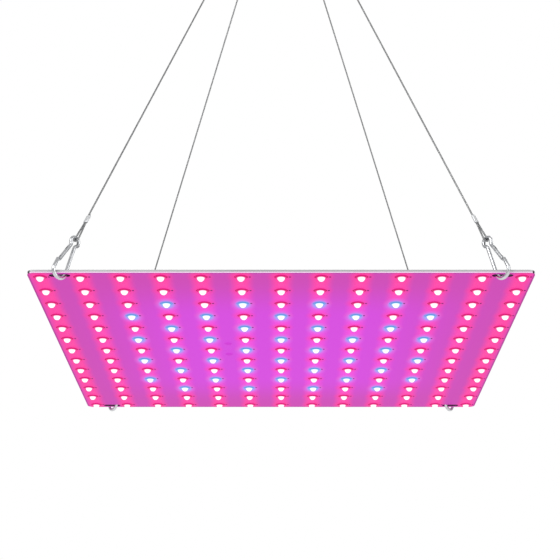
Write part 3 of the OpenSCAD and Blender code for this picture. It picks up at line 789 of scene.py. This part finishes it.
lit_face = plain_material("lit_white_coating", (0.6, 0.2, 0.55), 0.42)
wires = Wiring(lit_face)
wires.read_place()
place, facing = wires.place, wires.facing
column = wires.math("ADD", wires.math("DIVIDE", place.outputs[0], PITCH * MM), LAMPS / 2)
row = wires.math("ADD", wires.math("DIVIDE", place.outputs[1], PITCH * MM), LAMPS / 2)
low_row = wires.math("SUBTRACT", row, HALO_SHIFT)
from_column = wires.math("ABSOLUTE", wires.math("SUBTRACT", wires.math("FRACT", column), 0.5))
from_row = wires.math("ABSOLUTE", wires.math("SUBTRACT", wires.math("FRACT", row), 0.5))
from_low_row = wires.math("ABSOLUTE", wires.math("SUBTRACT", wires.math("FRACT", low_row), 0.5))
squares = wires.math("ADD", wires.math("POWER", from_column, 2.0), wires.math("POWER", from_row, 2.0))
from_lamp = wires.math("SQRT", squares)
cell = wires.math("ADD", wires.math("FLOOR", column), wires.math("FLOOR", low_row))
parity = wires.math("MODULO", cell, 2.0)
inner = (LAMPS / 2 - RED_BORDER) * PITCH * MM
inside_x = wires.math("LESS_THAN", wires.math("ABSOLUTE", place.outputs[0]), inner)
low_y = wires.math("SUBTRACT", place.outputs[1], HALO_SHIFT * PITCH * MM)
inside_y = wires.math("LESS_THAN", wires.math("ABSOLUTE", low_y), inner)
blue_cell = wires.math("MULTIPLY", parity, wires.math("MULTIPLY", inside_x, inside_y))
side_x, side_y = (wires.math("ABSOLUTE", value) for value in place.outputs[:2])
middle = wires.math("MULTIPLY", wires.fade(side_x, 0.05, 0.155), wires.fade(side_y, 0.07, 0.15))
between = wires.blend(middle, VIOLET, VIOLET_MIDDLE)
stripe = wires.fade(from_column, 0.08, 0.36)
stripe_tone = wires.blend(middle, PINK, PINK_MIDDLE)
washed = wires.blend(stripe, between, stripe_tone)
near_lamp = wires.math("MULTIPLY", wires.fade(from_lamp, 0.14, 0.40), 0.5)
reddened = wires.blend(near_lamp, washed, LAMP_RED)
long_way = wires.math("POWER", wires.math("MULTIPLY", from_low_row, 0.62), 2.0)
from_halo = wires.math("SQRT", wires.math("ADD", wires.math("POWER", from_column, 2.0), long_way))
halo = wires.math("MULTIPLY", blue_cell, wires.fade(from_halo, 0.10, 0.38))
tight_halo = wires.math("MULTIPLY", blue_cell, wires.fade(from_halo, 0.13, 0.24))
hazy = wires.blend(wires.math("MULTIPLY", halo, 0.8), reddened, HALO_HAZE)
haloed = wires.blend(wires.math("MULTIPLY", tight_halo, 0.7), hazy, HALO_BLUE)
from_middle = wires.math("MAXIMUM", side_x, side_y)
border = wires.math("GREATER_THAN", from_middle, (PANEL_HALF - 1.1) * MM)
glow = wires.blend(wires.math("MULTIPLY", border, 0.55), haloed, BORDER_PLUM)
downwards = wires.math("LESS_THAN", facing.outputs[2], -0.5)
# Painted light and shade on the edges: a pale pink base, which is the white laminate with the lamps'
# pink light painted in, and a dim painted pink glow. The slot walls and corners get painted shade and
# no glow.
edge_tone = wires.blend(wires.wall_mask(), EDGE_PALE, WALL_SHADE)
# Painted light: the face's base colour is the painted lamp wash at 0.12 of its strength, and its glow
# is the full wash.
dim_painted_wash = wires.blend(wires.math("MULTIPLY", downwards, 0.88), glow, BLACK)
wires.links.new(wires.blend(downwards, edge_tone, dim_painted_wash), wires.shader.inputs["Base Color"])
edge_glow = wires.blend(wires.wall_mask(), EDGE_GLOW, BLACK)
wires.links.new(wires.blend(downwards, edge_glow, glow), wires.shader.inputs["Emission Color"])
wires.shader.inputs["Emission Strength"].default_value = 0.92
wires.shader.inputs["Specular IOR Level"].default_value = 0.06
board_sheet("circuit_layer", "coated_circuit_layer", lit_face, 0.08)


# Lenses: one clear moulding over each lamp, a thin flange with a raised lip and a round dome. The
# lit lamp inside makes the dome white-hot and leaves its colour in the flange.
FLANGE_R = 3.4
FLANGE_T = 0.7
LIP_WIDTH = 0.3
DOME_R = 2.3
DOME_FOOT = 0.06
GROOVE = 0.12
LENS_SIDES = 12


def lens_rings():
    """Radius and depth under the board, from the flange's rim and lip to the dome's tip."""
    dome = [
        (DOME_R * math.sin(math.radians(angle)), FLANGE_T + DOME_R * math.cos(math.radians(angle)))
        for angle in (64, 32, 0)
    ]
    flange = [(FLANGE_R, 0.0), (FLANGE_R - LIP_WIDTH, FLANGE_T)]
    groove = [(DOME_R + DOME_FOOT, FLANGE_T - GROOVE)]
    return flange + groove + dome


def moulded_lens():
    """A disc on the board, drawn out ring by ring to the dome's tip. The map's first direction
    runs from the tip, 0, to the flange's wall, 1."""
    rings = lens_rings()
    bpy.ops.object.select_all(action="DESELECT")
    bpy.ops.mesh.primitive_circle_add(
        vertices=LENS_SIDES, radius=FLANGE_R * MM, fill_type="NGON", calc_uvs=False,
        location=(0, 0, FACE_Z * MM),
    )
    lens = bpy.context.object
    bpy.ops.object.transform_apply(location=True, rotation=True, scale=True)
    bpy.ops.object.mode_set(mode="EDIT")
    for (r, deep), (next_r, next_deep) in zip(rings, rings[1:]):
        down = (0, 0, (deep - next_deep) * MM)
        bpy.ops.mesh.extrude_region_move(TRANSFORM_OT_translate={"value": down})
        if next_r > 0:
            narrower = (next_r / r, next_r / r, 1)
            bpy.ops.transform.resize(value=narrower, center_override=(0, 0, FACE_Z * MM))
    bpy.ops.mesh.merge(type="CENTER")
    bpy.ops.object.mode_set(mode="OBJECT")
    run = [0.0]
    for a, b in zip(rings, rings[1:]):
        run.append(run[-1] + math.dist(a, b))
    layer = lens.data.uv_layers.new(name="from_tip")
    for loop in lens.data.loops:
        corner = lens.data.vertices[loop.vertex_index].co
        r = math.hypot(corner.x, corner.y) / MM
        nearest = min(range(len(rings)), key=lambda q: abs(rings[q][0] - r))
        layer.data[loop.index].uv = (1 - run[nearest] / run[-1], 0.5)
    return lens


def at_lamps(model, blue=None):
    """A copy of the model at each red lamp, each blue one or every one, joined into one piece."""
    copies = []
    for i in range(LAMPS):
        for j in range(LAMPS):
            if blue is None or is_blue(i, j) == blue:
                x, y = ((k - (LAMPS - 1) / 2) * PITCH * MM for k in (i, j))
                copies.append(copy_at(model, Vector((x, y, 0))))
    bpy.data.objects.remove(model)
    return join(copies)


def lit_lens(name, stops, cold):
    """A lens whose glow follows its map from the tip outwards, through the stops."""
    mat = plain_material(name, cold, 0.18)
    nodes, links = mat.node_tree.nodes, mat.node_tree.links
    shader = nodes["Principled BSDF"]
    shader.inputs["Specular IOR Level"].default_value = 0.12
    shader.inputs["Emission Strength"].default_value = 0.9
    uv = nodes.new("ShaderNodeUVMap")
    uv.uv_map = "from_tip"
    split = nodes.new("ShaderNodeSeparateXYZ")
    ramp = nodes.new("ShaderNodeValToRGB")
    while len(ramp.color_ramp.elements) < len(stops):
        ramp.color_ramp.elements.new(0.5)
    for element, (at, color) in zip(ramp.color_ramp.elements, stops):
        element.position = at
        element.color = (*color, 1)
    links.new(uv.outputs[0], split.inputs[0])
    links.new(split.outputs[0], ramp.inputs[0])
    links.new(ramp.outputs[0], shader.inputs["Emission Color"])
    return mat


# White-hot dome, its coloured foot, the groove, the bright lip and the flange's wall
WHITE_HOT = (1.3, 1.25, 1.3)
RED_STOPS = [
    (0.0, WHITE_HOT),
    (0.64, WHITE_HOT),
    (0.70, (1.1, 0.45, 0.75)),
    (0.725, (0.66, 0.0, 0.14)),
    (0.76, (1.0, 0.05, 0.34)),
    (0.83, (1.0, 0.04, 0.30)),
    (0.87, (0.60, 0.0, 0.12)),
    (1.0, (0.90, 0.02, 0.26)),
]
BLUE_STOPS = [
    (0.0, WHITE_HOT),
    (0.63, WHITE_HOT),
    (0.69, (0.55, 0.95, 1.25)),
    (0.725, (0.10, 0.42, 0.80)),
    (0.76, (0.30, 0.66, 1.05)),
    (0.83, (0.26, 0.58, 1.0)),
    (0.87, (0.05, 0.24, 0.55)),
    (1.0, (0.26, 0.42, 0.95)),
]
red_lit = lit_lens("lit_red_lens", RED_STOPS, (0.05, 0.003, 0.015))
blue_lit = lit_lens("lit_blue_lens", BLUE_STOPS, (0.01, 0.03, 0.06))
for blue, color, mat in ((False, "red", red_lit), (True, "blue", blue_lit)):
    lenses = at_lamps(moulded_lens(), blue)
    finish_piece(lenses, color + "_lamp_lenses", mat, "lamp", 50)
    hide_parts(color + "_lenses")
package_white = plain_material("package_white", (0.86, 0.86, 0.84), 0.35)
package_grain = noise_bump(package_white, 700, 0.1)
tint(package_white, package_grain, (0.8, 0.8, 0.78), (0.9, 0.9, 0.88))
dress("red_packages", package_white)
dress("blue_packages", package_white)


# Printed marks: under each lens a dark outline with a point at each side, where the solder pads
# come out, and a small bar at its right that shows which way round the lamp goes.
MARK_T = 0.06
OUTLINE_SIDES = 12
OUTLINE_R = 3.6
OUTLINE_HALF = 4.25
OUTLINE_WIDTH = 0.42
INNER_POINT = 0.4
BAR_AT = 5.4
BAR_WIDTH = 1.2
BAR_DEPTH = 1.5


def drawn_outline():
    """A flat ring whose two sides are drawn out to a point."""
    bpy.ops.object.select_all(action="DESELECT")
    bpy.ops.mesh.primitive_circle_add(
        vertices=OUTLINE_SIDES, radius=(OUTLINE_R + OUTLINE_WIDTH / 2) * MM, fill_type="NGON",
        location=(0, 0, FACE_Z * MM),
    )
    outline = bpy.context.object
    bpy.ops.object.transform_apply(location=True, rotation=True, scale=True)
    bpy.ops.object.mode_set(mode="EDIT")
    bpy.ops.mesh.inset(thickness=OUTLINE_WIDTH * math.cos(math.pi / OUTLINE_SIDES) * MM)
    bpy.ops.mesh.delete(type="FACE")
    bpy.ops.mesh.select_all(action="SELECT")
    bpy.ops.mesh.extrude_region_move(TRANSFORM_OT_translate={"value": (0, 0, -MARK_T * MM)})
    bpy.ops.object.mode_set(mode="OBJECT")
    for vertex in outline.data.vertices:
        r = math.hypot(vertex.co.x, vertex.co.y)
        point = (OUTLINE_HALF - OUTLINE_R) * MM * abs(vertex.co.x / r) ** 9
        if r < OUTLINE_R * MM:
            point *= INNER_POINT
        vertex.co.x *= 1 + point / r
        vertex.co.y *= 1 + point / r
    return outline


def drawn_bar():
    bpy.ops.object.select_all(action="DESELECT")
    bpy.ops.mesh.primitive_cube_add(
        size=1, location=(BAR_AT * MM, 0, (FACE_Z - MARK_T / 2) * MM),
        scale=(BAR_WIDTH * MM, BAR_DEPTH * MM, MARK_T * MM),
    )
    bpy.ops.object.transform_apply(location=True, rotation=True, scale=True)
    return bpy.context.object


def make_glow(mat, color, strength):
    """The surface gives its own light and reflects almost none."""
    shader = mat.node_tree.nodes["Principled BSDF"]
    shader.inputs["Emission Color"].default_value = (*color, 1)
    shader.inputs["Emission Strength"].default_value = strength
    shader.inputs["Specular IOR Level"].default_value = 0.06


def ink_with_painted_glow(name, color, strength):
    mat = plain_material(name, [c * 0.3 for c in color], 0.5)
    grain = noise_bump(mat, 900, 0.1)
    tint(mat, grain, [c * 0.22 for c in color], [c * 0.4 for c in color])
    make_glow(mat, color, strength)
    return mat


# The lamps' light is painted into the dark print as glow: crimson on the red lamps' outlines, teal on
# the blue ones', dim violet on the bars.
crimson = ink_with_painted_glow("crimson_outline", (0.52, 0.0, 0.10), 0.8)
teal = ink_with_painted_glow("teal_outline", (0.16, 0.30, 0.78), 0.8)
violet = ink_with_painted_glow("violet_bar", (0.18, 0.01, 0.16), 0.6)
finish_piece(at_lamps(drawn_outline(), False), "red_lamp_outlines", crimson, "lamp", 30)
finish_piece(at_lamps(drawn_outline(), True), "blue_lamp_outlines", teal, "lamp", 30)
finish_piece(at_lamps(drawn_bar()), "direction_bars", violet, "lamp", 30)


# The driver box on the board's back: a tray screwed to the board and a cover that drops over it,
# both moulded in dark plastic with fine spark-eroded grain.
moulded_black = plain_material("moulded_black", (0.045, 0.046, 0.05), 0.55)
spark_grain = noise_bump(moulded_black, 1500, 0.3, rough=(0.45, 0.65))
tint(moulded_black, spark_grain, (0.035, 0.036, 0.04), (0.06, 0.061, 0.065))
worn_copy("driver_cover", "vented_cover", moulded_black, "lamp", 0.35, 40, 3)
worn_copy("driver_tray", "driver_base_tray", moulded_black, "lamp", 0.25, 40)
zinc = plain_material("zinc_plate", (0.6, 0.61, 0.63), 0.32, 1.0)
zinc_grain = noise_bump(zinc, 420, 0.15, rough=(0.24, 0.42))
tint(zinc, zinc_grain, (0.5, 0.51, 0.53), (0.68, 0.69, 0.7))
worn_copy("cover_screws", "cover_pan_screws", zinc, "lamp", 0.12, 50)
for node in ("tray_studs", "tray_nuts", "pcb_screws"):
    dress(node, zinc)

# The mains inlet: a black moulded socket in the box's end wall with two steel pins.
gloss_black = plain_material("gloss_black", (0.02, 0.02, 0.022), 0.25)
gloss_grain = noise_bump(gloss_black, 260, 0.06, rough=(0.2, 0.34))
tint(gloss_black, gloss_grain, (0.016, 0.016, 0.018), (0.03, 0.03, 0.032))
worn_copy("inlet_shell", "inlet_socket", gloss_black, "lamp", 0.25, 40)
dress("inlet_pins", brushed_pin)


# Inside the box: the driver's circuit board and what is soldered to it, the sheet under it and the
# leads. Each finish has its own two tones and grain.
def two_tone(name, dark, pale, rough, grain=500, bump=0.12, metallic=0.0, stretch=(1, 1, 1)):
    mat = plain_material(name, pale, rough, metallic)
    noise = noise_bump(mat, grain, bump, stretch, (rough * 0.85, min(1, rough * 1.25)))
    tint(mat, noise, dark, pale)
    return mat


matte_black = two_tone("matte_black", (0.015, 0.015, 0.016), (0.035, 0.035, 0.037), 0.6)
ferrite = two_tone("sintered_ferrite", (0.05, 0.05, 0.055), (0.1, 0.1, 0.108), 0.7, 900, 0.3)
sleeve_blue = two_tone("capacitor_sleeve", (0.02, 0.025, 0.10), (0.035, 0.04, 0.16), 0.3)
tape_yellow = two_tone("winding_tape", (0.62, 0.44, 0.06), (0.78, 0.58, 0.1), 0.35)
copper = two_tone(
    "enamelled_copper", (0.5, 0.2, 0.08), (0.74, 0.36, 0.16), 0.3, 60, 0.6, 0.9, (1, 1, 18),
)
INNER_FINISHES = {
    "driver_pcb": two_tone("coated_laminate", (0.02, 0.14, 0.06), (0.04, 0.22, 0.1), 0.3, 300),
    "insulating_sheet": two_tone("barrier_sheet", (0.78, 0.75, 0.66), (0.88, 0.86, 0.78), 0.5),
    "mains_leads": two_tone("brown_insulation", (0.18, 0.08, 0.03), (0.26, 0.13, 0.06), 0.4),
    "output_leads": two_tone("red_insulation", (0.42, 0.02, 0.02), (0.6, 0.04, 0.04), 0.4),
    "fuse": two_tone("ceramic_white", (0.76, 0.76, 0.74), (0.86, 0.86, 0.85), 0.3),
    "varistor": two_tone("dipped_blue", (0.05, 0.1, 0.38), (0.08, 0.16, 0.5), 0.3),
    "film_capacitor": tape_yellow,
    "choke_core": ferrite,
    "choke_windings": copper,
    "bridge_rectifier": matte_black,
    "bulk_capacitor": sleeve_blue,
    "heat_sink": rolled_sheet,
    "switch_transistor": matte_black,
    "controller_chip": matte_black,
    "transformer_core": ferrite,
    "transformer_winding": tape_yellow,
    "output_capacitor": sleeve_blue,
    "output_diode": matte_black,
    "output_terminal": two_tone("terminal_green", (0.08, 0.36, 0.1), (0.12, 0.5, 0.14), 0.35),
}
for node, mat in INNER_FINISHES.items():
    dress(node, mat)

# The feed through the board: soft bushes round the leads, and sealing dabs over their soldered
# ends, which show the lit face's magenta light as a painted glow.
dress("feed_grommets", two_tone("soft_bush", (0.03, 0.03, 0.032), (0.06, 0.06, 0.062), 0.75))
sealing_dab = plain_material("sealing_dab", (0.06, 0.01, 0.06), 0.5)
dab_grain = noise_bump(sealing_dab, 600, 0.1)
tint(sealing_dab, dab_grain, (0.04, 0.006, 0.04), (0.08, 0.014, 0.08))
# Painted glow: the lit face's magenta light on the dabs.
make_glow(sealing_dab, (0.66, 0.055, 0.70), 0.92)
dress("feed_caps", sealing_dab)
